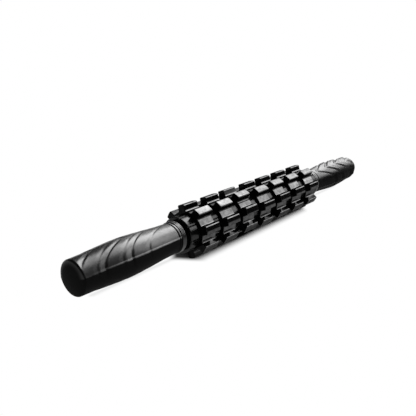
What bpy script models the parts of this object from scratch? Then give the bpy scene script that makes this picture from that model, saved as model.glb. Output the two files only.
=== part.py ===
# Roller massage stick: lugged wheels and grooved rings that turn freely on a straight core,
# between two rubber handles. Metres, +Z up, the stick lies along X and stands on its wheels' lugs.

from math import atan2, cos, pi, radians, sin, sqrt

import bmesh
import bpy

# Barrel along the stick
WHEEL_COUNT = 7
WHEEL_WIDTH = 0.0182
RING_WIDTH = 0.0112
END_PLAY = 0.0005
THRUST_WASHER_WIDTH = 0.003

# Clearances: between pieces that turn, and between pieces that stay put
RUNNING_GAP = 0.0003
SEAT_GAP = 0.0003

# Core, from the inside out
TUBE_RADIUS = 0.008
TUBE_WALL = 0.0015
SLEEVE_WALL = 0.0012

# Lugged wheel
HUB_WALL = 0.009
LUG_COUNT = 8
LUG_HEIGHT = 0.0056
LUG_TIP_WIDTH = 0.0074
LUG_DRAFT = radians(3)
LUG_TIP_ROUNDING = 0.0007
LUG_ROOT_FILLET = 0.0012
WHEEL_EDGE_BEVEL = 0.0004

# How far each wheel is turned as it lies, in degrees
WHEEL_TURNS = (-1, -1.5, 4.5, -2, 1, 0.5, -1.5)

# Grooved spacer ring
RING_WALL = 0.0065
GROOVE_COUNT = 8
GROOVE_WIDTH = 0.0012
GROOVE_DEPTH = 0.0006

# Where the first groove of each ring points as it lies, in degrees up from the horizontal in front
RING_TURNS = (0.5, 40, 21, 17, 15, 6, 25, 12)

# Thrust washer and ribbed collar at the neck of each handle
THRUST_WASHER_WALL = 0.0025
COLLAR_WIDTH = 0.0043
COLLAR_WALL = 0.0023
COLLAR_RIBS = 3
COLLAR_RIB_DEPTH = 0.0003

# Handle: hard core inside a rubber grip
CORE_WALL = 0.0032
CORE_END_WALL = 0.003
GRIP_LENGTH = 0.1053
GRIP_END_SKIN = 0.0032
GRIP_NECK_WALL = 0.0017
GRIP_BELLY_WALL = 0.0043
GRIP_END_WALL = 0.0024
GRIP_END_FLAT = 0.006
GRIP_END_CROWN = 0.0014
GRIP_END_ROUNDING = 0.0032
GRIP_BELLY_SHARE = 0.55
GRIP_GROOVE_INSET = 0.0022
GRIP_GROOVE_WIDTH = 0.001
GRIP_GROOVE_DEPTH = 0.0005

# Fastening in each end of the tube
PLUG_LENGTH = 0.022
PLUG_FLANGE = 0.003
SCREW_RADIUS = 0.0025
SCREW_LENGTH = 0.02
SCREW_HEAD_OVERHANG = 0.0018
SCREW_HEAD_HEIGHT = 0.0023
SCREW_HEAD_ROUNDING = 0.0007
SCREW_TIP_TAPER = 0.0006
SOCKET_RADIUS = 0.0015
SOCKET_DEPTH = 0.0013
LOCK_WASHER_OVERHANG = 0.0004
LOCK_WASHER_THICKNESS = 0.0008

# Facets round each kind of piece
CORE_SIDES = 40
BORE_SIDES = 28
HANDLE_SIDES = 36
FASTENER_SIDES = 20
SHARP_EDGE = radians(32)

# Looks: colour, roughness, metallic
FINISHES = {
    "gloss_black": ((0.012, 0.012, 0.013), 0.16, 0.0),
    "satin_black": ((0.026, 0.026, 0.027), 0.38, 0.0),
    "rubber_black": ((0.03, 0.03, 0.03), 0.58, 0.0),
    "nylon_dark": ((0.02, 0.02, 0.02), 0.5, 0.0),
    "bright_steel": ((0.62, 0.62, 0.63), 0.28, 1.0),
    "core_grey": ((0.11, 0.11, 0.115), 0.5, 0.0),
}


def over_flats(radius, sides):
    # Corner radius of a faceted bore whose flats still clear this radius.
    return radius / cos(pi / sides)


# Places that follow from the sizes above
PITCH = WHEEL_WIDTH + RING_WIDTH + 2 * RUNNING_GAP
BARREL_HALF = (WHEEL_COUNT - 1) / 2 * PITCH + WHEEL_WIDTH / 2
END_RING_CENTRE = BARREL_HALF + END_PLAY + RING_WIDTH / 2
WASHER_INNER = END_RING_CENTRE + RING_WIDTH / 2 + RUNNING_GAP
STACK_END = WASHER_INNER + THRUST_WASHER_WIDTH
COLLAR_INNER = STACK_END + SEAT_GAP
GRIP_INNER = COLLAR_INNER + COLLAR_WIDTH + SEAT_GAP
GRIP_OUTER = GRIP_INNER + GRIP_LENGTH
CORE_OUTER = GRIP_OUTER - GRIP_END_SKIN - SEAT_GAP
HEAD_RECESS = SCREW_HEAD_HEIGHT + LOCK_WASHER_THICKNESS + 3 * SEAT_GAP
RECESS_FLOOR = CORE_OUTER - HEAD_RECESS
CORE_WALL_INNER = RECESS_FLOOR - CORE_END_WALL
FLANGE_OUTER = CORE_WALL_INNER - SEAT_GAP
FLANGE_INNER = FLANGE_OUTER - PLUG_FLANGE
TUBE_END = FLANGE_INNER - SEAT_GAP
LOCK_WASHER_INNER = RECESS_FLOOR + SEAT_GAP
HEAD_INNER = LOCK_WASHER_INNER + LOCK_WASHER_THICKNESS + SEAT_GAP

SLEEVE_BORE = over_flats(TUBE_RADIUS + SEAT_GAP, CORE_SIDES)
SLEEVE_RADIUS = SLEEVE_BORE + SLEEVE_WALL
ROLLER_BORE = over_flats(SLEEVE_RADIUS + RUNNING_GAP, BORE_SIDES)
WHEEL_FLOOR = ROLLER_BORE + HUB_WALL
WHEEL_TIP = WHEEL_FLOOR + LUG_HEIGHT
RING_RADIUS = ROLLER_BORE + RING_WALL
WASHER_BORE = over_flats(SLEEVE_RADIUS + SEAT_GAP, HANDLE_SIDES)
CORE_BORE = over_flats(TUBE_RADIUS + SEAT_GAP, HANDLE_SIDES)
CORE_RADIUS = CORE_BORE + CORE_WALL
HANDLE_BORE = over_flats(CORE_RADIUS + SEAT_GAP, HANDLE_SIDES)
TUBE_BORE = TUBE_RADIUS - TUBE_WALL
PLUG_RADIUS = TUBE_BORE * cos(pi / CORE_SIDES) - SEAT_GAP
SCREW_HOLE = over_flats(SCREW_RADIUS + SEAT_GAP, FASTENER_SIDES)
HEAD_RADIUS = SCREW_RADIUS + SCREW_HEAD_OVERHANG
LOCK_WASHER_RADIUS = HEAD_RADIUS + LOCK_WASHER_OVERHANG
RECESS_RADIUS = over_flats(LOCK_WASHER_RADIUS + SEAT_GAP, HANDLE_SIDES)


def clear_scene():
    for old in list(bpy.data.objects):
        bpy.data.objects.remove(old)


def make_finish(name):
    colour, roughness, metallic = FINISHES[name]
    material = bpy.data.materials.new(name)
    material.use_nodes = True
    shader = material.node_tree.nodes["Principled BSDF"]
    shader.inputs["Base Color"].default_value = (*colour, 1)
    shader.inputs["Roughness"].default_value = roughness
    shader.inputs["Metallic"].default_value = metallic
    return material


def finish_mesh(build, name, finish):
    bmesh.ops.recalc_face_normals(build, faces=build.faces)
    mesh = bpy.data.meshes.new(name)
    build.to_mesh(mesh)
    build.free()
    mesh.shade_smooth()
    mesh.set_sharp_from_angle(angle=SHARP_EDGE)
    mesh.materials.append(finish)
    return mesh


def arc(centre, radius, start, end, steps):
    # Points along an arc in the plane across the stick, both ends included.
    turns = [start + (end - start) * step / steps for step in range(steps + 1)]
    return [(centre[0] + radius * cos(turn), centre[1] + radius * sin(turn)) for turn in turns]


def turned_mesh(name, outline, sides, finish):
    # A solid turned round the X axis from a closed outline of (along, radius) points.
    build = bmesh.new()
    rings = []
    for along, radius in outline:
        if radius == 0:
            rings.append([build.verts.new((along, 0, 0))])
        else:
            angles = [2 * pi * side / sides for side in range(sides)]
            rings.append([build.verts.new((along, radius * cos(a), radius * sin(a))) for a in angles])
    for first, second in zip(rings, rings[1:] + rings[:1]):
        for side in range(sides):
            after = (side + 1) % sides
            if len(first) == len(second) == 1:
                break
            if len(first) == 1:
                build.faces.new((first[0], second[after], second[side]))
            elif len(second) == 1:
                build.faces.new((first[side], first[after], second[0]))
            else:
                build.faces.new((first[side], first[after], second[after], second[side]))
    return finish_mesh(build, name, finish)


def inset_outline(outline, distance):
    # A clockwise outline moved inwards by one distance, with mitred corners.
    moved = []
    for before, here, after in zip(outline[-1:] + outline[:-1], outline, outline[1:] + outline[:1]):
        normals = []
        for start, end in ((before, here), (here, after)):
            across, up = end[0] - start[0], end[1] - start[1]
            length = sqrt(across * across + up * up)
            normals.append((up / length, -across / length))
        (ax, ay), (bx, by) = normals
        reach = distance / (1 + ax * bx + ay * by)
        moved.append((here[0] + (ax + bx) * reach, here[1] + (ay + by) * reach))
    return moved


def roller_mesh(name, outline, width, bevel, finish):
    # A roller extruded along X from its outline, with a round bore and, if asked, bevelled ends.
    bore = arc((0, 0), ROLLER_BORE, 0, 2 * pi, BORE_SIDES)[:-1]
    sections = [(-width / 2, outline), (width / 2, outline)]
    if bevel:
        narrowed = inset_outline(outline, bevel)
        sections = [(-width / 2, narrowed), (-width / 2 + bevel, outline)]
        sections += [(width / 2 - bevel, outline), (width / 2, narrowed)]
    build = bmesh.new()

    def add_loops(places):
        loops = [[build.verts.new((along, y, z)) for y, z in points] for along, points in places]
        for first, second in zip(loops, loops[1:]):
            for side in range(len(first)):
                after = (side + 1) % len(first)
                build.faces.new((first[side], first[after], second[after], second[side]))
        return loops

    outer = add_loops(sections)
    inner = add_loops([(-width / 2, bore), (width / 2, bore)])
    build.edges.ensure_lookup_table()
    for end in (0, -1):
        rim = []
        for loop in (outer[end], inner[end]):
            rim += [build.edges.get((a, b)) for a, b in zip(loop, loop[1:] + loop[:1])]
        bmesh.ops.triangle_fill(build, edges=rim, use_beauty=True)
    return finish_mesh(build, name, finish)


def half_lug():
    # From the middle of a lug's tip, down its drafted wall, to the middle of the floor beside it.
    # The lug points up; the wall leans out towards the root by the draft angle.
    half = LUG_TIP_WIDTH / 2
    normal = (cos(LUG_DRAFT), sin(LUG_DRAFT))
    along = (-sin(LUG_DRAFT), cos(LUG_DRAFT))
    wall = half * normal[0] + sqrt(WHEEL_TIP**2 - half**2) * normal[1]

    def fillet_centre(out, reach):
        rise = sqrt(reach**2 - out**2)
        return normal[0] * out + along[0] * rise, normal[1] * out + along[1] * rise

    tip = fillet_centre(wall - LUG_TIP_ROUNDING, WHEEL_TIP - LUG_TIP_ROUNDING)
    root = fillet_centre(wall + LUG_ROOT_FILLET, WHEEL_FLOOR + LUG_ROOT_FILLET)
    points = [(0, WHEEL_TIP)]
    points += arc(tip, LUG_TIP_ROUNDING, atan2(tip[1], tip[0]), LUG_DRAFT, 2)
    points += arc(root, LUG_ROOT_FILLET, pi + LUG_DRAFT, pi + atan2(root[1], root[0]), 2)
    between = pi / 2 - pi / LUG_COUNT
    points.append((WHEEL_FLOOR * cos(between), WHEEL_FLOOR * sin(between)))
    return points


def turn_points(points, angle):
    return [(y * cos(angle) - z * sin(angle), y * sin(angle) + z * cos(angle)) for y, z in points]


def wheel_outline():
    # Half a pitch off, so that two lugs stand on the ground together.
    right = half_lug()
    left = [(-y, z) for y, z in right[1:-1]]
    lug = left[::-1] + right
    outline = []
    for number in range(LUG_COUNT):
        outline += turn_points(lug, -2 * pi * (number + 0.5) / LUG_COUNT)
    return outline


def ring_outline():
    # Shallow V grooves with arcs between them, clockwise like the wheel's outline.
    half_turn = GROOVE_WIDTH / 2 / RING_RADIUS
    step = 2 * pi / GROOVE_COUNT
    outline = []
    for number in range(GROOVE_COUNT):
        middle = -step * number
        bottom = RING_RADIUS - GROOVE_DEPTH
        outline.append((bottom * cos(middle), bottom * sin(middle)))
        outline += arc((0, 0), RING_RADIUS, middle - half_turn, middle - step + half_turn, 3)
    return outline


def ground_to_axis():
    # Height of the axis over the lowest lug of all wheels as they are turned.
    outline = wheel_outline()
    return -min(z for turn in WHEEL_TURNS for _, z in turn_points(outline, -radians(turn)))


def tube_outline(start, end, bore, radius):
    return [(start, bore), (start, radius), (end, radius), (end, bore)]


def collar_outline():
    # Ring ribs round the outside, as shallow V grooves across the width.
    radius = HANDLE_BORE + COLLAR_WALL
    rib = COLLAR_WIDTH / COLLAR_RIBS
    outline = [(0, HANDLE_BORE), (0, radius)]
    for number in range(1, COLLAR_RIBS):
        outline.append((rib * (number - 0.5), radius))
        outline.append((rib * number, radius - COLLAR_RIB_DEPTH))
    outline += [(rib * (COLLAR_RIBS - 0.5), radius), (COLLAR_WIDTH, radius), (COLLAR_WIDTH, HANDLE_BORE)]
    return [(COLLAR_INNER + along, reach) for along, reach in outline]


def ease(share):
    return share * share * (3 - 2 * share)


def grip_radius(along):
    # Slim at the neck, fullest at the belly, slimmer again at the end.
    shoulder = GRIP_LENGTH - GRIP_END_ROUNDING
    belly = shoulder * GRIP_BELLY_SHARE
    if along < belly:
        wall = GRIP_NECK_WALL + (GRIP_BELLY_WALL - GRIP_NECK_WALL) * ease(along / belly)
    else:
        share = (along - belly) / (shoulder - belly)
        wall = GRIP_BELLY_WALL + (GRIP_END_WALL - GRIP_BELLY_WALL) * ease(share)
    return HANDLE_BORE + wall


def grip_outline():
    # Closed at the outer end, with a groove near the neck and a rounded, slightly crowned end face.
    steps = 10
    groove = GRIP_GROOVE_INSET
    start = groove + GRIP_GROOVE_WIDTH
    shoulder = GRIP_LENGTH - GRIP_END_ROUNDING
    outline = [(0, HANDLE_BORE), (0, grip_radius(0)), (groove, grip_radius(groove))]
    outline.append((groove + GRIP_GROOVE_WIDTH / 2, grip_radius(groove) - GRIP_GROOVE_DEPTH))
    places = [start + (shoulder - start) * step / steps for step in range(steps + 1)]
    outline += [(along, grip_radius(along)) for along in places]
    end = grip_radius(shoulder)
    rim = end - GRIP_END_ROUNDING
    for step in (1, 2, 3):
        turn = pi / 2 * step / 3
        outline.append(
            (
                shoulder + (GRIP_END_ROUNDING - GRIP_END_CROWN) * sin(turn),
                rim + GRIP_END_ROUNDING * cos(turn),
            )
        )
    outline.append((GRIP_LENGTH, GRIP_END_FLAT))
    outline += [(GRIP_LENGTH, 0), (GRIP_LENGTH - GRIP_END_SKIN, 0)]
    outline.append((GRIP_LENGTH - GRIP_END_SKIN, HANDLE_BORE))
    return [(GRIP_INNER + along, radius) for along, radius in outline]


def grip_core_outline():
    # A tube with an end wall, drilled for the screw and recessed for its head.
    return [
        (COLLAR_INNER, CORE_BORE),
        (COLLAR_INNER, CORE_RADIUS),
        (CORE_OUTER, CORE_RADIUS),
        (CORE_OUTER, RECESS_RADIUS),
        (RECESS_FLOOR, RECESS_RADIUS),
        (RECESS_FLOOR, SCREW_HOLE),
        (CORE_WALL_INNER, SCREW_HOLE),
        (CORE_WALL_INNER, CORE_BORE),
    ]


def plug_outline():
    # Body inside the tube, flange over the tube's end, threaded hole shown plain.
    return [
        (FLANGE_INNER - PLUG_LENGTH, SCREW_HOLE),
        (FLANGE_INNER - PLUG_LENGTH, PLUG_RADIUS),
        (FLANGE_INNER, PLUG_RADIUS),
        (FLANGE_INNER, TUBE_RADIUS),
        (FLANGE_OUTER, TUBE_RADIUS),
        (FLANGE_OUTER, SCREW_HOLE),
    ]


def screw_outline():
    head_outer = HEAD_INNER + SCREW_HEAD_HEIGHT
    tip = HEAD_INNER - SCREW_LENGTH
    return [
        (tip, 0),
        (tip, SCREW_RADIUS - SCREW_TIP_TAPER),
        (tip + SCREW_TIP_TAPER, SCREW_RADIUS),
        (HEAD_INNER, SCREW_RADIUS),
        (HEAD_INNER, HEAD_RADIUS),
        (head_outer - SCREW_HEAD_ROUNDING, HEAD_RADIUS),
        (head_outer, HEAD_RADIUS - SCREW_HEAD_ROUNDING),
        (head_outer, SOCKET_RADIUS),
        (head_outer - SOCKET_DEPTH, SOCKET_RADIUS),
        (head_outer - SOCKET_DEPTH, 0),
    ]


def add_piece(name, mesh, stick, along=0, roll=0, facing=0):
    piece = bpy.data.objects.new(name, mesh)
    bpy.context.scene.collection.objects.link(piece)
    piece.parent = stick
    piece.location = (along, 0, 0)
    piece.rotation_euler = (roll, 0, facing)


def add_core(stick, finishes):
    tube = tube_outline(-TUBE_END, TUBE_END, TUBE_BORE, TUBE_RADIUS)
    sleeve = tube_outline(-STACK_END, STACK_END, SLEEVE_BORE, SLEEVE_RADIUS)
    add_piece("core_tube", turned_mesh("core_tube", tube, CORE_SIDES, finishes["bright_steel"]), stick)
    sleeve_mesh = turned_mesh("bearing_sleeve", sleeve, CORE_SIDES, finishes["nylon_dark"])
    add_piece("bearing_sleeve", sleeve_mesh, stick)


def add_wheels(stick, finishes):
    outline = wheel_outline()
    mesh = roller_mesh("roller_wheel", outline, WHEEL_WIDTH, WHEEL_EDGE_BEVEL, finishes["gloss_black"])
    for number in range(WHEEL_COUNT):
        along = (number - (WHEEL_COUNT - 1) / 2) * PITCH
        turn = radians(WHEEL_TURNS[number % len(WHEEL_TURNS)])
        add_piece(f"roller_wheel_{number + 1}", mesh, stick, along, -turn)


def add_rings(stick, finishes):
    mesh = roller_mesh("spacer_ring", ring_outline(), RING_WIDTH, 0, finishes["satin_black"])
    places = [(number - WHEEL_COUNT / 2) * PITCH for number in range(1, WHEEL_COUNT)]
    places = [-END_RING_CENTRE, *places, END_RING_CENTRE]
    for number, along in enumerate(places):
        turn = radians(RING_TURNS[number % len(RING_TURNS)])
        add_piece(f"spacer_ring_{number + 1}", mesh, stick, along, -turn)


def add_handles(stick, finishes):
    washer = tube_outline(WASHER_INNER, STACK_END, WASHER_BORE, WASHER_BORE + THRUST_WASHER_WALL)
    lock_washer = tube_outline(
        LOCK_WASHER_INNER, LOCK_WASHER_INNER + LOCK_WASHER_THICKNESS, SCREW_HOLE, LOCK_WASHER_RADIUS
    )
    pieces = (
        ("thrust_washer", washer, HANDLE_SIDES, "nylon_dark"),
        ("neck_collar", collar_outline(), HANDLE_SIDES, "satin_black"),
        ("grip_core", grip_core_outline(), HANDLE_SIDES, "core_grey"),
        ("rubber_grip", grip_outline(), HANDLE_SIDES, "rubber_black"),
        ("tube_plug", plug_outline(), FASTENER_SIDES, "core_grey"),
        ("lock_washer", lock_washer, FASTENER_SIDES, "bright_steel"),
        ("retaining_screw", screw_outline(), FASTENER_SIDES, "bright_steel"),
    )
    for name, outline, sides, finish in pieces:
        mesh = turned_mesh(name, outline, sides, finishes[finish])
        add_piece(f"left_{name}", mesh, stick, facing=pi)
        add_piece(f"right_{name}", mesh, stick)


def main():
    clear_scene()
    finishes = {name: make_finish(name) for name in FINISHES}
    stick = bpy.data.objects.new("massage_stick", None)
    bpy.context.scene.collection.objects.link(stick)
    stick.location = (0, 0, ground_to_axis())
    add_core(stick, finishes)
    add_wheels(stick, finishes)
    add_rings(stick, finishes)
    add_handles(stick, finishes)


main()
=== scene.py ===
# Massage stick: fine surfaces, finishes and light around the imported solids.
# Metres, +Z up. The stick lies along X on its wheels' lugs; the viewer is towards -X and -Y.

from math import atan2, cos, pi, radians, sin, sqrt, tan

import bmesh
import bpy
import numpy as np
from mathutils import Matrix, Vector


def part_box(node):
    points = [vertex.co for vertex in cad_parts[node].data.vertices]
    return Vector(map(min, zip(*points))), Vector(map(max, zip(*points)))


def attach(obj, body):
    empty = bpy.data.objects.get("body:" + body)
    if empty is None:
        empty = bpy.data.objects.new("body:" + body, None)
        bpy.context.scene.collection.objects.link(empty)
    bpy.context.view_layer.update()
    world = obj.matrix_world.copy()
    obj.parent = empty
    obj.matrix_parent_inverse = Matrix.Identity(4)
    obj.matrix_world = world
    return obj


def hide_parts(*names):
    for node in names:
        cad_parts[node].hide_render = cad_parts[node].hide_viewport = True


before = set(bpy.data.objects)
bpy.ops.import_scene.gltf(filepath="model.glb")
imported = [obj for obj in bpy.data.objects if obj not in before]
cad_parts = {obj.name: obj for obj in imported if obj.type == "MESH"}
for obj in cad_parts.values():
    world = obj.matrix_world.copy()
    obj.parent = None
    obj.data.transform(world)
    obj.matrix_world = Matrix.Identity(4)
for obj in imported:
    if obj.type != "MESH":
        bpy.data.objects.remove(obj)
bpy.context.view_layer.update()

millimetre = 0.001
tubeLow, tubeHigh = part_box("core_tube")
axisHeight = (tubeLow.z + tubeHigh.z) / 2
print(f"frame loaded, axis {axisHeight / millimetre:.2f} mm above the ground")


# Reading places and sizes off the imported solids

def spanAlong(node):
    low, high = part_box(node)
    return low.x, high.x


def acrossPoints(node):
    # A solid's points as seen from its end, measured from the axis.
    points = np.array([vertex.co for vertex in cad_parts[node].data.vertices])
    return points[:, 1], points[:, 2] - axisHeight


def outerRadius(node):
    y, z = acrossPoints(node)
    return float(np.hypot(y, z).max())


def boreRadius(node):
    y, z = acrossPoints(node)
    return float(np.hypot(y, z).min())


def restTurn(node, count, nearest, furthest):
    # Where the first of the evenly spaced lugs or grooves points. It is read off the points
    # whose distance from the axis lies between these two shares of the radius.
    y, z = acrossPoints(node)
    share = np.hypot(y, z) / outerRadius(node)
    chosen = (share > nearest) & (share < furthest)
    turns = np.arctan2(z[chosen], y[chosen])
    return float(np.angle(np.exp(1j * count * turns).sum())) / count


# Building meshes

meshDetail = {
    "rimSteps": 4,
    "boreSides": 96,
    "sharpAngle": radians(40),
}


def arcPoints(centre, radius, start, end, steps):
    turns = np.linspace(start, end, steps + 1)
    return np.column_stack((centre[0] + radius * np.cos(turns), centre[1] + radius * np.sin(turns)))


def insetOutline(points, distance):
    # A counter-clockwise outline moved inwards, with mitred corners.
    def inward(edges):
        lengths = np.hypot(edges[:, 0], edges[:, 1])
        return np.column_stack((-edges[:, 1], edges[:, 0])) / lengths[:, None]
    before = inward(points - np.roll(points, 1, axis=0))
    after = inward(np.roll(points, -1, axis=0) - points)
    mitre = (before + after) / (1 + (before * after).sum(axis=1))[:, None]
    return points + mitre * distance


def finishMesh(build, name, material, sharpAngle=meshDetail["sharpAngle"]):
    bmesh.ops.recalc_face_normals(build, faces=build.faces)
    mesh = bpy.data.meshes.new(name)
    build.to_mesh(mesh)
    build.free()
    mesh.shade_smooth()
    mesh.set_sharp_from_angle(angle=sharpAngle)
    mesh.materials.append(material)
    return mesh


def addLoops(build, places):
    # Loops of (along, outline), each joined to the next.
    loops = [[build.verts.new((along, y, z)) for y, z in points] for along, points in places]
    for first, second in zip(loops, loops[1:]):
        for side in range(len(first)):
            after = (side + 1) % len(first)
            build.faces.new((first[side], first[after], second[after], second[side]))
    return loops


def rollerMesh(name, outline, bore, width, rounding, material):
    # A moulded roller with rounded rims, open along its bore.
    places = [(-width / 2 + rounding * (1 - cos(t)), rounding * (1 - sin(t)))
              for t in np.linspace(0, pi / 2, meshDetail["rimSteps"] + 1)]
    outer = [(along, insetOutline(outline, inset)) for along, inset in places]
    outer += [(-along, points) for along, points in reversed(outer)]
    circle = arcPoints((0, 0), 1, 0, 2 * pi, meshDetail["boreSides"])[:-1]
    chamfer = rounding / 2
    inner = [(-width / 2, circle * (bore + chamfer)), (-width / 2 + chamfer, circle * bore)]
    inner += [(-along, points) for along, points in reversed(inner)]
    build = bmesh.new()
    outerLoops = addLoops(build, outer)
    innerLoops = addLoops(build, inner)
    for end in (0, -1):
        rim = []
        for loop in (outerLoops[end], innerLoops[end]):
            rim += [build.edges.get((a, b)) for a, b in zip(loop, loop[1:] + loop[:1])]
        bmesh.ops.triangle_fill(build, edges=rim, use_beauty=True)
    return finishMesh(build, name, material)


def turnedMesh(name, outline, sides, material):
    # A solid turned round the axis from a closed outline of (along, radius) points.
    circle = arcPoints((0, 0), 1, 0, 2 * pi, sides)[:-1]
    build = bmesh.new()
    loops = addLoops(build, [(along, circle * radius) for along, radius in outline])
    for side in range(sides):
        after = (side + 1) % sides
        build.faces.new((loops[-1][side], loops[-1][after], loops[0][after], loops[0][side]))
    return finishMesh(build, name, material)


def placePiece(name, mesh, node, body, along=0, turn=0):
    # The place and the turn go into the mesh, so that grain falls differently on each piece.
    mesh = mesh.copy()
    mesh.transform(Matrix.Translation((along, 0, axisHeight)) @ Matrix.Rotation(turn, 4, "X"))
    piece = bpy.data.objects.new(name, mesh)
    bpy.context.scene.collection.objects.link(piece)
    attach(piece, body)
    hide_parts(node)
    return piece


def keepFlatsFlat(piece):
    # Large flat faces keep their own normal, and the roundings take the turn.
    weighted = piece.modifiers.new("flat faces stay flat", "WEIGHTED_NORMAL")
    weighted.keep_sharp = True


# Shader building blocks

skin = {
    "cloudDetail": 5,
    "grainDetail": 3,
    "noiseRoughness": 0.6,
    "cloudRange": (0.35, 0.65),  # the part of the noise that makes the whole change
    "wornRange": (0.995, 0.9),   # cosines of the turns at an edge where wear sets in and is full
    "brokenRange": (0.42, 0.62),
    "markDetail": 6,
    "markStretch": (14, 1, 1),
    "markRange": (0.55, 0.75),
    "coatIor": 1.6,
    "glossFade": (0.46, 0.68),   # from facing the eye towards a glancing view
}


def addNode(tree, kind, **settings):
    node = tree.nodes.new(kind)
    for key, value in settings.items():
        setattr(node, key, value)
    return node


def newGroup(name, inputs, outputs):
    # A node group with named float sockets, given as name and default.
    group = bpy.data.node_groups.new(name, "ShaderNodeTree")
    for label, default in inputs.items():
        socket = group.interface.new_socket(label, in_out="INPUT", socket_type="NodeSocketFloat")
        socket.default_value = default
    for label in outputs:
        group.interface.new_socket(label, in_out="OUTPUT", socket_type="NodeSocketFloat")
    return group, addNode(group, "NodeGroupInput"), addNode(group, "NodeGroupOutput")


def rangeNode(tree, source, low, high, newLow, newHigh):
    node = addNode(tree, "ShaderNodeMapRange")
    tree.links.new(source, node.inputs["Value"])
    values = {"From Min": low, "From Max": high, "To Min": newLow, "To Max": newHigh}
    for label, value in values.items():
        node.inputs[label].default_value = value
    return node.outputs["Result"]


def smoothRange(tree, source, low, high, newLow=0, newHigh=1):
    result = rangeNode(tree, source, low, high, newLow, newHigh)
    result.node.interpolation_type = "SMOOTHSTEP"
    return result


def mathNode(tree, operation, first, second=None):
    node = addNode(tree, "ShaderNodeMath", operation=operation)
    for socket, value in zip(node.inputs, (first, second)):
        if isinstance(value, (int, float)):
            socket.default_value = value
        elif value is not None:
            tree.links.new(value, socket)
    return node.outputs[0]


def vectorNode(tree, operation, first, second=None):
    node = addNode(tree, "ShaderNodeVectorMath", operation=operation)
    for socket, value in zip(node.inputs, (first, second)):
        if isinstance(value, tuple):
            socket.default_value = value
        elif value is not None:
            tree.links.new(value, socket)
    return node.outputs["Value" if operation == "DOT_PRODUCT" else "Vector"]


def buildMouldGrain():
    # Fine skin of a moulded surface: a slow cloud for gloss and a fine height for bump.
    scales = {"Cloud Scale": 60, "Grain Scale": 900}
    group, given, out = newGroup("mouldGrain", scales, ("Cloud", "Grain"))
    place = addNode(group, "ShaderNodeTexCoord").outputs["Object"]
    for label, detail in (("Cloud", skin["cloudDetail"]), ("Grain", skin["grainDetail"])):
        noise = addNode(group, "ShaderNodeTexNoise")
        noise.inputs["Detail"].default_value = detail
        noise.inputs["Roughness"].default_value = skin["noiseRoughness"]
        group.links.new(place, noise.inputs["Vector"])
        group.links.new(given.outputs[f"{label} Scale"], noise.inputs["Scale"])
        group.links.new(noise.outputs["Fac"], out.inputs[label])
    return group


def buildEdgeWear():
    # Where rims and corners have been rubbed: 0 on open faces, up to 1 on worn edges.
    group, given, out = newGroup("edgeWear", {"Reach": 0.0005, "Break Up": 350, "Amount": 1}, ("Mask",))
    bevel = addNode(group, "ShaderNodeBevel", samples=4)
    group.links.new(given.outputs["Reach"], bevel.inputs["Radius"])
    face = addNode(group, "ShaderNodeNewGeometry").outputs["Normal"]
    flat = vectorNode(group, "DOT_PRODUCT", bevel.outputs["Normal"], face)
    edge = rangeNode(group, flat, *skin["wornRange"], 0, 1)
    noise = addNode(group, "ShaderNodeTexNoise")
    group.links.new(addNode(group, "ShaderNodeTexCoord").outputs["Object"], noise.inputs["Vector"])
    group.links.new(given.outputs["Break Up"], noise.inputs["Scale"])
    broken = rangeNode(group, noise.outputs["Fac"], *skin["brokenRange"], 0, 1)
    worn = mathNode(group, "MULTIPLY", edge, broken)
    group.links.new(mathNode(group, "MULTIPLY", worn, given.outputs["Amount"]), out.inputs["Mask"])
    return group


def buildHandlingMarks():
    # Short rubs and hairlines from use, running round the stick.
    group, given, out = newGroup("handlingMarks", {"Scale": 40, "Amount": 1}, ("Mask",))
    place = addNode(group, "ShaderNodeTexCoord").outputs["Object"]
    stretch = addNode(group, "ShaderNodeMapping")
    stretch.inputs["Scale"].default_value = skin["markStretch"]
    group.links.new(place, stretch.inputs["Vector"])
    noise = addNode(group, "ShaderNodeTexNoise")
    noise.inputs["Detail"].default_value = skin["markDetail"]
    group.links.new(stretch.outputs["Vector"], noise.inputs["Vector"])
    group.links.new(given.outputs["Scale"], noise.inputs["Scale"])
    marks = rangeNode(group, noise.outputs["Fac"], *skin["markRange"], 0, 1)
    group.links.new(mathNode(group, "MULTIPLY", marks, given.outputs["Amount"]), out.inputs["Mask"])
    return group


mouldGrain = buildMouldGrain()
edgeWear = buildEdgeWear()
handlingMarks = buildHandlingMarks()


def useGroup(tree, group, **values):
    node = addNode(tree, "ShaderNodeGroup", node_tree=group)
    for key, value in values.items():
        node.inputs[key].default_value = value
    return node


def mixColours(tree, factor, first, second):
    # Sockets 6 and 7 of a Mix node are its two colours, and output 2 is the mixed one.
    mix = addNode(tree, "ShaderNodeMix", data_type="RGBA")
    tree.links.new(factor, mix.inputs["Factor"])
    for socket, value in ((mix.inputs[6], first), (mix.inputs[7], second)):
        if isinstance(value, tuple):
            socket.default_value = (*value, 1)
        else:
            tree.links.new(value, socket)
    return mix.outputs[2]


def paintedGripShade(tree, look):
    # Painted shade: full gloss on the half of the grip above its mould line, less on the half below it
    # and on the end, so these read dark.
    place = addNode(tree, "ShaderNodeTexCoord").outputs["Object"]
    turn = look["polishedTowards"]
    above = vectorNode(tree, "DOT_PRODUCT", place, (0, -cos(turn), sin(turn)))
    middle = axisHeight * sin(turn)
    half = smoothRange(tree, above, middle - look["polishFade"], middle)
    along = mathNode(tree, "ABSOLUTE", vectorNode(tree, "DOT_PRODUCT", place, (1, 0, 0)))
    side = smoothRange(tree, along, *look["polishedTo"], 1, 0)
    return rangeNode(tree, mathNode(tree, "MULTIPLY", half, side), 0, 1, look["dullShare"], 1)


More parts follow.
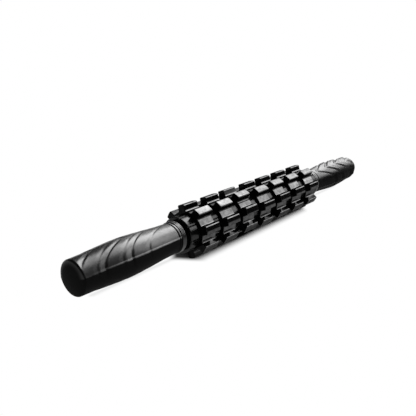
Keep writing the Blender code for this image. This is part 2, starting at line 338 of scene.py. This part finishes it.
def paintedLugWallShade(tree, look):
    # Painted shade: full gloss where the surface faces away from the axis, less on the side walls of
    # the lugs, so the walls read dark.
    given = addNode(tree, "ShaderNodeTexCoord")
    out = vectorNode(tree, "SUBTRACT", given.outputs["Object"], (0, 0, axisHeight))
    out = vectorNode(tree, "NORMALIZE", vectorNode(tree, "MULTIPLY", out, (0, 1, 1)))
    facesOut = vectorNode(tree, "DOT_PRODUCT", out, given.outputs["Normal"])
    return smoothRange(tree, facesOut, *look["topsFrom"], look["dullShare"], 1)


def paintedSeamHighlight(tree, look):
    # Painted highlight: 1 on a narrow band by the mould line, which is painted paler, fading towards
    # the end.
    place = addNode(tree, "ShaderNodeTexCoord").outputs["Object"]
    turn = look["lineTurn"]
    across = vectorNode(tree, "DOT_PRODUCT", place, (0, sin(turn), cos(turn)))
    away = mathNode(tree, "ABSOLUTE", mathNode(tree, "SUBTRACT", across, axisHeight * cos(turn)))
    line = smoothRange(tree, away, look["lineWidth"] / 2, look["lineWidth"], 1, 0)
    along = mathNode(tree, "ABSOLUTE", vectorNode(tree, "DOT_PRODUCT", place, (1, 0, 0)))
    return mathNode(tree, "MULTIPLY", line, smoothRange(tree, along, *look["lineFade"], 1, 0))


def makeFinish(name, look):
    # One moulded or metal finish from a dictionary of its values.
    material = bpy.data.materials.new(name)
    material.use_nodes = True
    tree = material.node_tree
    shader = tree.nodes["Principled BSDF"]
    scales = {"Cloud Scale": look["cloudScale"], "Grain Scale": look["grainScale"]}
    grain = useGroup(tree, mouldGrain, **scales)
    wear = useGroup(tree, edgeWear, Reach=look["wearReach"], Amount=look["wearAmount"])
    marks = useGroup(tree, handlingMarks, Amount=look["markAmount"])
    cloud = grain.outputs["Cloud"]
    cloudy = rangeNode(tree, cloud, *skin["cloudRange"], 0, 1)
    colour = mixColours(tree, cloudy, look["colour"], look["cloudColour"])
    colour = mixColours(tree, wear.outputs["Mask"], colour, look["wearColour"])
    # A painted highlight along the mould line.
    if "lineTurn" in look:
        colour = mixColours(tree, paintedSeamHighlight(tree, look), colour, look["lineColour"])
    tree.links.new(colour, shader.inputs["Base Color"])
    roughness = rangeNode(tree, cloud, *skin["cloudRange"], *look["roughness"])
    rubbed = mathNode(tree, "MULTIPLY", marks.outputs["Mask"], look["markRoughness"])
    roughness = mathNode(tree, "ADD", roughness, rubbed)
    tree.links.new(roughness, shader.inputs["Roughness"])
    bump = addNode(tree, "ShaderNodeBump")
    bump.inputs["Strength"].default_value = look["bump"]
    bump.inputs["Distance"].default_value = look["bumpDepth"]
    tree.links.new(grain.outputs["Grain"], bump.inputs["Height"])
    tree.links.new(bump.outputs["Normal"], shader.inputs["Normal"])
    shader.inputs["Metallic"].default_value = look["metallic"]
    shader.inputs["IOR"].default_value = look["ior"]
    if look["gloss"]:
        shader.inputs["Coat IOR"].default_value = skin["coatIor"]
        shader.inputs["Coat Roughness"].default_value = look["glossRoughness"]
        facing = addNode(tree, "ShaderNodeLayerWeight").outputs["Facing"]
        glancing = look["gloss"] * look["glancingShare"]
        gloss = smoothRange(tree, facing, *skin["glossFade"], look["gloss"], glancing)
        clouded = rangeNode(tree, cloud, *skin["cloudRange"], 1, look["cloudedShare"])
        gloss = mathNode(tree, "MULTIPLY", gloss, clouded)
        # Gloss taken away as painted shade where the look gives a mask for it.
        if "polish" in look:
            gloss = mathNode(tree, "MULTIPLY", gloss, look["polish"](tree, look))
        tree.links.new(gloss, shader.inputs["Coat Weight"])
    return material


def grey(level):
    return (level, level, level)


plainLook = {
    "cloudScale": 60, "grainScale": 900, "wearReach": 0.0004, "wearAmount": 0.35, "markAmount": 1,
    "markRoughness": 0.08, "metallic": 0, "ior": 1.4, "bump": 0.15, "bumpDepth": 0.0001, "gloss": 0,
}
wheelLook = plainLook | {
    "colour": grey(0.001), "cloudColour": grey(0.003), "wearColour": grey(0.02),
    "roughness": (0.25, 0.4), "cloudScale": 260, "grainScale": 500, "bumpDepth": 0.00006,
    "ior": 1.02, "gloss": 0.95, "cloudedShare": 0.55, "glossRoughness": 0.06, "glancingShare": 0.16,
    # the gloss mask named here is painted shade on the lug walls
    "polish": paintedLugWallShade, "dullShare": 0.1, "topsFrom": (0.2, 0.4),
}
ringLook = plainLook | {
    "colour": grey(0.002), "cloudColour": grey(0.005), "wearColour": grey(0.03),
    "roughness": (0.3, 0.42),
    "ior": 1.02, "gloss": 0.41, "cloudedShare": 0.7, "glossRoughness": 0.2, "glancingShare": 0.55,
}
collarLook = ringLook | {"gloss": 1, "glossRoughness": 0.32, "glancingShare": 1}
washerLook = ringLook | {"roughness": (0.45, 0.6), "gloss": 0, "ior": 1.3}
gripLook = plainLook | {
    "colour": grey(0.002), "cloudColour": grey(0.004), "wearColour": grey(0.02),
    "roughness": (0.4, 0.5), "cloudScale": 90, "grainScale": 1600, "bump": 0.08, "bumpDepth": 0.00005,
    "ior": 1.02, "gloss": 1, "cloudedShare": 0.78, "glossRoughness": 0.33, "glancingShare": 1,
    # the gloss mask named here is painted shade on the grip's underside and end
    "polish": paintedGripShade, "dullShare": 0.06, "polishedTo": (0.2215, 0.2235),
    # the paler line colour here is a painted highlight along the mould line
    "lineColour": grey(0.15), "lineWidth": 0.0006, "lineFade": (0.175, 0.2215),
}
leftGripLook = gripLook | {
    "polishedTowards": radians(112), "polishFade": 0.0006, "lineTurn": radians(25),
}
rightGripLook = gripLook | {
    "polishedTowards": radians(142), "polishFade": 0.009, "lineTurn": radians(-18),
    # a dimmer painted highlight along the mould line on this side
    "gloss": 0.8, "bump": 0.02, "lineColour": grey(0.03),
}
steelLook = plainLook | {
    "colour": (0.56, 0.56, 0.57), "cloudColour": (0.62, 0.62, 0.63), "wearColour": (0.75, 0.75, 0.76),
    "roughness": (0.22, 0.36), "metallic": 1, "bump": 0.08,
}
coreLook = plainLook | {
    "colour": (0.08, 0.08, 0.085), "cloudColour": (0.12, 0.12, 0.125), "wearColour": (0.2, 0.2, 0.2),
    "roughness": (0.42, 0.58),
}
wheelGloss = makeFinish("wheelGloss", wheelLook)
ringSatin = makeFinish("ringSatin", ringLook)
collarSatin = makeFinish("collarSatin", collarLook)
washerNylon = makeFinish("washerNylon", washerLook)
leftRubber = makeFinish("leftRubber", leftGripLook)
rightRubber = makeFinish("rightRubber", rightGripLook)
drawnSteel = makeFinish("drawnSteel", steelLook)
corePlastic = makeFinish("corePlastic", coreLook)
print("finishes made")


# Lugged wheels

wheelShape = {
    "around": 8,              # lugs
    "turnBand": (0.995, 2),   # lug tips, which show how a wheel is turned
    "lugTipWidth": 0.0074,
    "lugHeight": 0.0056,
    "wallDraft": radians(3),
    "tipRounding": 0.001,
    "rootFillet": 0.0014,
    "rimRounding": 0.0005,
    "arcSteps": 5,
    "floorSteps": 4,
}


def wheelOutline(shape, tip):
    # Counter-clockwise, with the middle of a lug towards +Y.
    floor = tip - shape["lugHeight"]
    half = shape["lugTipWidth"] / 2
    draft = shape["wallDraft"]
    normal = np.array((sin(draft), cos(draft)))
    along = np.array((cos(draft), -sin(draft)))
    wall = half * normal[1] + sqrt(tip**2 - half**2) * normal[0]

    def filletCentre(out, reach):
        return normal * out + along * sqrt(reach**2 - out**2)

    tipCentre = filletCentre(wall - shape["tipRounding"], tip - shape["tipRounding"])
    rootCentre = filletCentre(wall + shape["rootFillet"], floor + shape["rootFillet"])
    tipTurn, rootTurn = atan2(*tipCentre[::-1]), atan2(*rootCentre[::-1])
    middle = (0, 0)
    steps = shape["arcSteps"]
    halfLug = np.vstack((
        arcPoints(middle, tip, 0, tipTurn, steps)[:-1],
        arcPoints(tipCentre, shape["tipRounding"], tipTurn, pi / 2 - draft, steps),
        arcPoints(rootCentre, shape["rootFillet"], 3 * pi / 2 - draft, pi + rootTurn, steps),
        arcPoints(middle, floor, rootTurn, pi / shape["around"], shape["floorSteps"])[1:],
    ))
    lug = np.vstack((halfLug[:0:-1] * (1, -1), halfLug))[1:]
    outline = []
    for number in range(shape["around"]):
        turn = 2 * pi * number / shape["around"]
        spin = np.array(((cos(turn), sin(turn)), (-sin(turn), cos(turn))))
        outline.append(lug @ spin)
    return np.vstack(outline)


def makeRollers(kind, fineKind, shape, outlineOf, finish):
    # One mesh for all of a kind, set in each one's place and turned as its solid is.
    nodes = sorted(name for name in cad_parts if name.startswith(kind))
    start, end = spanAlong(nodes[0])
    outline = outlineOf(shape, outerRadius(nodes[0]))
    bore = boreRadius(nodes[0])
    mesh = rollerMesh(f"{fineKind}_mesh", outline, bore, end - start, shape["rimRounding"], finish)
    for node in nodes:
        start, end = spanAlong(node)
        turn = restTurn(node, shape["around"], *shape["turnBand"])
        name = node.replace(kind, fineKind)
        piece = placePiece(name, mesh, node, node, (start + end) / 2, turn)
        keepFlatsFlat(piece)
    print(f"{len(nodes)} of {fineKind}, {len(mesh.polygons)} faces each")


makeRollers("roller_wheel", "lugged_wheel", wheelShape, wheelOutline, wheelGloss)


# Grooved spacer rings

ringShape = {
    "around": 8,              # grooves
    "turnBand": (0.9, 0.99),  # groove floors, which show how a ring is turned
    "grooveWidth": 0.0013,
    "grooveDepth": 0.0006,
    "grooveCurve": 1.5,
    "rimRounding": 0.0009,
    "steps": 48,              # points from groove to groove
    "crowding": 1.6,          # how much closer they lie near a groove
}


def ringOutline(shape, radius):
    # Counter-clockwise, with a rounded groove towards +Y.
    step = 2 * pi / shape["around"]
    around = np.linspace(-0.5, 0.5, shape["steps"] + 1)[:-1] * step
    near = np.sign(around) * np.abs(around / step * 2) ** shape["crowding"] * step / 2
    share = np.abs(near) * radius / (shape["grooveWidth"] / 2)
    dip = shape["grooveDepth"] * np.clip(1 - share ** shape["grooveCurve"], 0, 1)
    outline = []
    for number in range(shape["around"]):
        turns = near + number * step
        outline.append(np.column_stack((np.cos(turns), np.sin(turns))) * (radius - dip)[:, None])
    return np.vstack(outline)


makeRollers("spacer_ring", "grooved_ring", ringShape, ringOutline, ringSatin)


# Ribbed collars and thrust washers at the necks

neckShape = {
    "ribs": 3,
    "ribDepth": 0.00025,
    "ribGroove": 0.00014,
    "rimRounding": 0.0003,
    "rimSteps": 3,
    "ribSteps": 16,
    "sides": 160,
}


def collarProfile(shape, start, end, bore, radius):
    # Flat-topped ribs with fine grooves between them, rounded off at both rims.
    width = end - start
    outline = [(start, bore)]
    for share in np.linspace(0, 1, shape["ribs"] * shape["ribSteps"] + 1):
        fromGroove = abs((share * shape["ribs"] + 0.5) % 1 - 0.5) * width / shape["ribs"]
        dip = shape["ribDepth"] * np.exp(-(fromGroove / shape["ribGroove"]) ** 2)
        outline.append((start + width * share, radius - dip))
    outline.append((end, bore))
    return outline


def washerProfile(shape, start, end, bore, radius):
    rim = shape["rimRounding"]
    turns = np.linspace(pi / 2, 0, shape["rimSteps"] + 1)
    corner = [(rim * (1 - sin(t)), rim * (1 - cos(t))) for t in turns]
    outline = [(start, bore)]
    outline += [(start + along, radius - drop) for along, drop in corner]
    outline += [(end - along, radius - drop) for along, drop in reversed(corner)]
    outline.append((end, bore))
    return outline


def makeNecks():
    for side in ("left", "right"):
        for part, profile, finish, slot in (
            ("neck_collar", collarProfile, collarSatin, "satin_black"),
            ("thrust_washer", washerProfile, washerNylon, "nylon_dark"),
        ):
            node = f"{side}_{part}"
            start, end = spanAlong(node)
            outline = profile(neckShape, start, end, boreRadius(node), outerRadius(node))
            mesh = turnedMesh(f"{node}_mesh", outline, neckShape["sides"], finish)
            placePiece(f"{side}_{part}_fine", mesh, node, "stick")
    print("collars and washers made")


makeNecks()


# Rubber grips with carved waves and a mould line

gripShape = {
    "neckWall": 0.0017,      # rubber over the core at the neck, at the belly and at the end
    "bellyWall": 0.0043,
    "endWall": 0.0024,
    "bellyShare": 0.55,
    "endRounding": {"left": 0.0032, "right": 0.012},
    "domeFrom": radians(66),
    "domeTip": 0.04,         # what is left of the dome's radius where a flat spot closes it
    "endSkin": 0.0032,
    "grooveAt": 0.0027,      # ring groove by the neck
    "grooveWidth": 0.001,
    "grooveDepth": 0.0005,
    "plainNeck": 0.004,      # from the neck to where the carving has its full depth
    "alongSteps": 300,
    "bendSteps": 13,
    "domeSteps": 23,
    "roundSteps": 240,
    "sharpAngle": radians(50),
}
waveShape = {
    # where each carved step meets the mould line, and how far it runs back on the way round
    "stepAt": (0.0375, 0.0565, 0.0655, 0.082, 0.089, 0.1035),
    "stepSweep": (0.039, 0.036, 0.036, 0.0395, 0.032, 0.026),
    "stepLength": {"left": 0.0016, "right": 0.004},
    "stepRounding": 0.0006,
    # from the foot of each step back up to the full surface
    "climbLength": (0.0045, 0.0058, 0.004, 0.0058, 0.004, 0.006),
    "depth": {
        "left": (0.0003, 0.0006, 0.0002, 0.0007, 0.0002, 0.0006),
        "right": (0.0011, 0.0015, 0.0003, 0.0016, 0.0003, 0.0014),
    },
    "undersideShare": 0.35,  # how much of the waves is left below the mould line
    "noseRounding": 0.17,
    "sweepPower": 1.15,
    "fadeFrom": 0.099,
    "fadeTo": 0.104,
}
seamShape = {
    "height": 0.0006,
    "reach": 0.0015,
    "leftTurn": radians(20),
    "rightTurn": radians(-18),
}


def ease(share):
    share = np.clip(share, 0, 1)
    return share * share * (3 - 2 * share)


def gripRadius(shape, along, shoulder, bore):
    belly = shoulder * shape["bellyShare"]
    rise = shape["neckWall"] + (shape["bellyWall"] - shape["neckWall"]) * ease(along / belly)
    fallShare = ease((along - belly) / (shoulder - belly))
    fall = shape["bellyWall"] + (shape["endWall"] - shape["bellyWall"]) * fallShare
    return bore + np.where(along < belly, rise, fall)


def waveHeight(shape, side, along, fromSeam):
    # A short step down, then a long climb back up, one wave after another.
    reach = np.sqrt(np.cos(fromSeam) ** 2 + shape["noseRounding"] ** 2)
    back = np.clip(1 - reach, 0, 1) ** shape["sweepPower"]
    stepLength = shape["stepLength"][side]
    # Three copies of each step, close together, round it off.
    shifts = (-shape["stepRounding"], 0, shape["stepRounding"])
    waves = zip(shape["stepAt"], shape["stepSweep"], shape["climbLength"], shape["depth"][side])
    total = 0
    for stepAt, stepSweep, climbLength, depth in waves:
        for shift in shifts:
            past = along - stepAt + stepSweep * back + shift
            down = np.clip(past / stepLength, 0, 1)
            up = np.clip((past - stepLength) / climbLength, 0, 1)
            total = total - depth / len(shifts) * (down - up)
    fade = 1 - ease((along - shape["fadeFrom"]) / (shape["fadeTo"] - shape["fadeFrom"]))
    # 1 above the mould line and 0 from 30 degrees below it.
    above = ease(1 + 2 * np.sin(fromSeam))
    return total * fade * (shape["undersideShare"] + (1 - shape["undersideShare"]) * above)


def seamHeight(shape, fromSeam, radius):
    away = np.arcsin(np.clip(np.abs(np.sin(fromSeam)), 0, 1)) * radius
    return shape["height"] * np.exp(-away / shape["reach"])


def gripProfile(shape, side, length, bore):
    # Places along the grip, the plain radius there and the share of the carving that shows.
    rounding = shape["endRounding"][side]
    shoulder = length - rounding
    body = np.linspace(0, shoulder, shape["alongSteps"])
    bodyRadius = gripRadius(shape, body, shoulder, bore)
    fromGroove = (body - shape["grooveAt"]) / shape["grooveWidth"] * 2
    groove = shape["grooveDepth"] * np.exp(-fromGroove**2)
    last = shape["domeFrom"]
    bend = np.linspace(0, last, shape["bendSteps"] + 1)[1:]
    bendRadius = bodyRadius[-1] - rounding * (1 - np.cos(bend))
    # The dome takes on where the bend stops, at the same slope.
    domeDepth = bendRadius[-1] / 2 / rounding / tan(last)
    bendAlong = shoulder + rounding * np.sin(bend) / (sin(last) + domeDepth)
    dome = np.linspace(1, shape["domeTip"], shape["domeSteps"] + 1)[1:]
    domeAlong = bendAlong[-1] + (length - bendAlong[-1]) * (1 - dome**2)
    along = np.concatenate((body, bendAlong, domeAlong))
    radius = np.concatenate((bodyRadius - groove, bendRadius, bendRadius[-1] * dome))
    bodyShare = np.clip(body / shape["plainNeck"], 0, 1)
    carvedShare = np.concatenate((bodyShare, np.cos(bend), np.zeros(len(dome))))
    return along, radius, carvedShare


def gripBore(side):
    # The grip's bore is a facet's clearance outside its core.
    y, z = acrossPoints(f"{side}_rubber_grip")
    reach = np.hypot(y, z)
    return float(reach[reach > outerRadius(f"{side}_grip_core")].min())


def makeGrip(side, seamTurn, rubber):
    node = f"{side}_rubber_grip"
    low, high = spanAlong(node)
    sign = -1 if side == "left" else 1
    inner, length, bore = min(abs(low), abs(high)), high - low, gripBore(side)
    along, radius, carvedShare = gripProfile(gripShape, side, length, bore)
    around = np.arange(gripShape["roundSteps"]) * 2 * pi / gripShape["roundSteps"]
    fromSeam = around - seamTurn
    carving = waveHeight(waveShape, side, along[:, None], fromSeam[None])
    carving = carving + seamHeight(seamShape, fromSeam[None], radius[:, None])
    surface = radius[:, None] + carving * carvedShare[:, None]

    def ring(place, reach):
        outline = np.column_stack((-reach * np.cos(around), reach * np.sin(around)))
        return sign * (inner + place), outline

    build = bmesh.new()
    outer = addLoops(build, [ring(place, reach) for place, reach in zip(along, surface)])
    bores = addLoops(build, [ring(length - gripShape["endSkin"], bore), ring(0, bore)])
    build.faces.new(outer[-1])
    build.faces.new(bores[0])
    for spot in range(len(around)):
        after = (spot + 1) % len(around)
        build.faces.new((bores[-1][spot], bores[-1][after], outer[0][after], outer[0][spot]))
    mesh = finishMesh(build, f"{side}_grip_mesh", rubber, gripShape["sharpAngle"])
    placePiece(f"{side}_carved_grip", mesh, node, "stick")
    print(f"{side} grip, {len(mesh.polygons)} faces")


makeGrip("left", seamShape["leftTurn"], leftRubber)
makeGrip("right", seamShape["rightTurn"], rightRubber)


# Solids that stay as they are, inside the stick

insideFinishes = {
    "core_tube": drawnSteel,
    "bearing_sleeve": washerNylon,
    "grip_core": corePlastic,
    "tube_plug": corePlastic,
    "lock_washer": drawnSteel,
    "retaining_screw": drawnSteel,
}


def finishInsides():
    for name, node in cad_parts.items():
        for ending, finish in insideFinishes.items():
            if name.endswith(ending):
                node.data.materials.clear()
                node.data.materials.append(finish)


finishInsides()
print("inner solids finished")


# Floor, light and camera

stage = {
    "floorSize": 60,
    "floorColour": (0.86, 0.86, 0.86),
    # across the stick, from its middle: where the floor's own white sets in and where it is full
    "shadowMiddle": 0.004,
    "shadowFrom": 0.011,
    "shadowTo": 0.0245,
    # along the stick: start, end and how much nearer the white comes
    "handlesFrom": (0.09, 0.116, 0.02),
    "pastEndsFrom": (0.2, 0.225, 0.03),
    "roomLight": 0.1,
    # in reflections the room is white up to the horizon and dimmer above it
    "roomAbove": 0.03,
    "horizon": (0, 0.04),
}
softboxes = {
    "mainSoftbox": {
        "azimuth": 6, "elevation": 58, "distance": 1.7, "size": (1.7, 1.2), "radiance": 3.9,
    },
    "lowSoftbox": {
        "azimuth": 18, "elevation": 26, "distance": 1.7, "size": (2.4, 0.7), "radiance": 2.2,
    },
    "sideSoftbox": {
        "azimuth": -27, "elevation": 29, "distance": 1.7, "size": (0.9, 0.75), "radiance": 5.3,
    },
    "farSoftbox": {
        "azimuth": 14, "elevation": 19, "distance": 1.7, "size": (1.1, 0.5), "radiance": 3.7,
    },
    "brightMiddle": {
        "azimuth": 12, "elevation": 42, "distance": 1.68, "size": (1.1, 0.95), "radiance": 6.9,
    },
}
view = {
    "fromMiddle": (-0.43571, -0.27584, 0.19699),
    "heading": 37.093,
    "dip": 21.624,
    "roll": 5.437,
    "lens": 46.943,
}


def seenRay(tree):
    # 1 where the eye sees the surface straight, in a reflection or through glass.
    path = addNode(tree, "ShaderNodeLightPath")
    seen = mathNode(tree, "MAXIMUM", path.outputs["Is Camera Ray"], path.outputs["Is Glossy Ray"])
    return mathNode(tree, "MAXIMUM", seen, path.outputs["Is Transmission Ray"])


def makeFloor():
    # White of its own all round, which gives way to the real shadow under the rollers.
    half = stage["floorSize"] / 2
    build = bmesh.new()
    corners = ((-half, -half, 0), (half, -half, 0), (half, half, 0), (-half, half, 0))
    build.faces.new([build.verts.new(corner) for corner in corners])
    material = bpy.data.materials.new("paleFloor")
    material.use_nodes = True
    tree = material.node_tree
    shader = tree.nodes["Principled BSDF"]
    shader.inputs["Base Color"].default_value = (*stage["floorColour"], 1)
    shader.inputs["Roughness"].default_value = 1
    shader.inputs["Specular IOR Level"].default_value = 0
    place = addNode(tree, "ShaderNodeSeparateXYZ")
    tree.links.new(addNode(tree, "ShaderNodeTexCoord").outputs["Object"], place.inputs[0])
    along = mathNode(tree, "ABSOLUTE", place.outputs["X"])
    away = mathNode(tree, "SUBTRACT", place.outputs["Y"], stage["shadowMiddle"])
    away = mathNode(tree, "ABSOLUTE", away)
    for key in ("handlesFrom", "pastEndsFrom"):
        start, end, nearer = stage[key]
        away = mathNode(tree, "ADD", away, smoothRange(tree, along, start, end, 0, nearer))
    white = smoothRange(tree, away, stage["shadowFrom"], stage["shadowTo"])
    share = mathNode(tree, "MULTIPLY", white, seenRay(tree))
    glow = addNode(tree, "ShaderNodeEmission")
    mix = addNode(tree, "ShaderNodeMixShader")
    tree.links.new(share, mix.inputs["Fac"])
    tree.links.new(shader.outputs[0], mix.inputs[1])
    tree.links.new(glow.outputs[0], mix.inputs[2])
    tree.links.new(mix.outputs[0], tree.nodes["Material Output"].inputs["Surface"])
    mesh = finishMesh(build, "floor_mesh", material)
    floor = bpy.data.objects.new("floor", mesh)
    bpy.context.scene.collection.objects.link(floor)


def makeRoom():
    world = bpy.data.worlds.new("whiteRoom")
    world.use_nodes = True
    tree = world.node_tree
    tree.nodes.clear()
    height = addNode(tree, "ShaderNodeSeparateXYZ")
    tree.links.new(addNode(tree, "ShaderNodeTexCoord").outputs["Generated"], height.inputs[0])
    backgrounds = [addNode(tree, "ShaderNodeBackground") for _ in range(2)]
    for background in backgrounds:
        background.inputs["Color"].default_value = (1, 1, 1, 1)
    backgrounds[0].inputs["Strength"].default_value = stage["roomLight"]
    mirrored = smoothRange(tree, height.outputs["Z"], *stage["horizon"], 1, stage["roomAbove"])
    straight = addNode(tree, "ShaderNodeLightPath").outputs["Is Camera Ray"]
    tree.links.new(mathNode(tree, "MAXIMUM", mirrored, straight), backgrounds[1].inputs["Strength"])
    mix = addNode(tree, "ShaderNodeMixShader")
    tree.links.new(seenRay(tree), mix.inputs["Fac"])
    for spot, background in enumerate(backgrounds):
        tree.links.new(background.outputs[0], mix.inputs[spot + 1])
    out = addNode(tree, "ShaderNodeOutputWorld")
    tree.links.new(mix.outputs[0], out.inputs["Surface"])
    bpy.context.scene.world = world


def makeSoftbox(name, box):
    aim = Vector((0, 0, axisHeight))
    azimuth, elevation = radians(box["azimuth"]), radians(box["elevation"])
    away = Vector((cos(elevation) * cos(azimuth), cos(elevation) * sin(azimuth), sin(elevation)))
    lamp = bpy.data.lights.new(name, "AREA")
    lamp.shape = "ELLIPSE"
    lamp.size, lamp.size_y = box["size"]
    area = box["size"][0] * box["size"][1] * pi / 4
    lamp.energy = box["radiance"] * pi * area
    holder = bpy.data.objects.new(name, lamp)
    bpy.context.scene.collection.objects.link(holder)
    holder.location = aim + away * box["distance"]
    holder.rotation_euler = away.to_track_quat("Z", "Y").to_euler()


def makeCamera():
    lens = bpy.data.cameras.new("photoView")
    lens.lens = view["lens"]
    camera = bpy.data.objects.new("photoView", lens)
    bpy.context.scene.collection.objects.link(camera)
    turn = Matrix.Rotation(radians(view["heading"] - 90), 4, "Z")
    turn @= Matrix.Rotation(radians(90 - view["dip"]), 4, "X")
    turn @= Matrix.Rotation(radians(view["roll"]), 4, "Z")
    place = Vector(view["fromMiddle"]) + Vector((0, 0, axisHeight))
    camera.matrix_world = Matrix.Translation(place) @ turn
    bpy.context.scene.camera = camera


makeFloor()
makeRoom()
for name, box in softboxes.items():
    makeSoftbox(name, box)
makeCamera()
bpy.context.scene.view_settings.view_transform = "Standard"
print("stage, light and camera set")
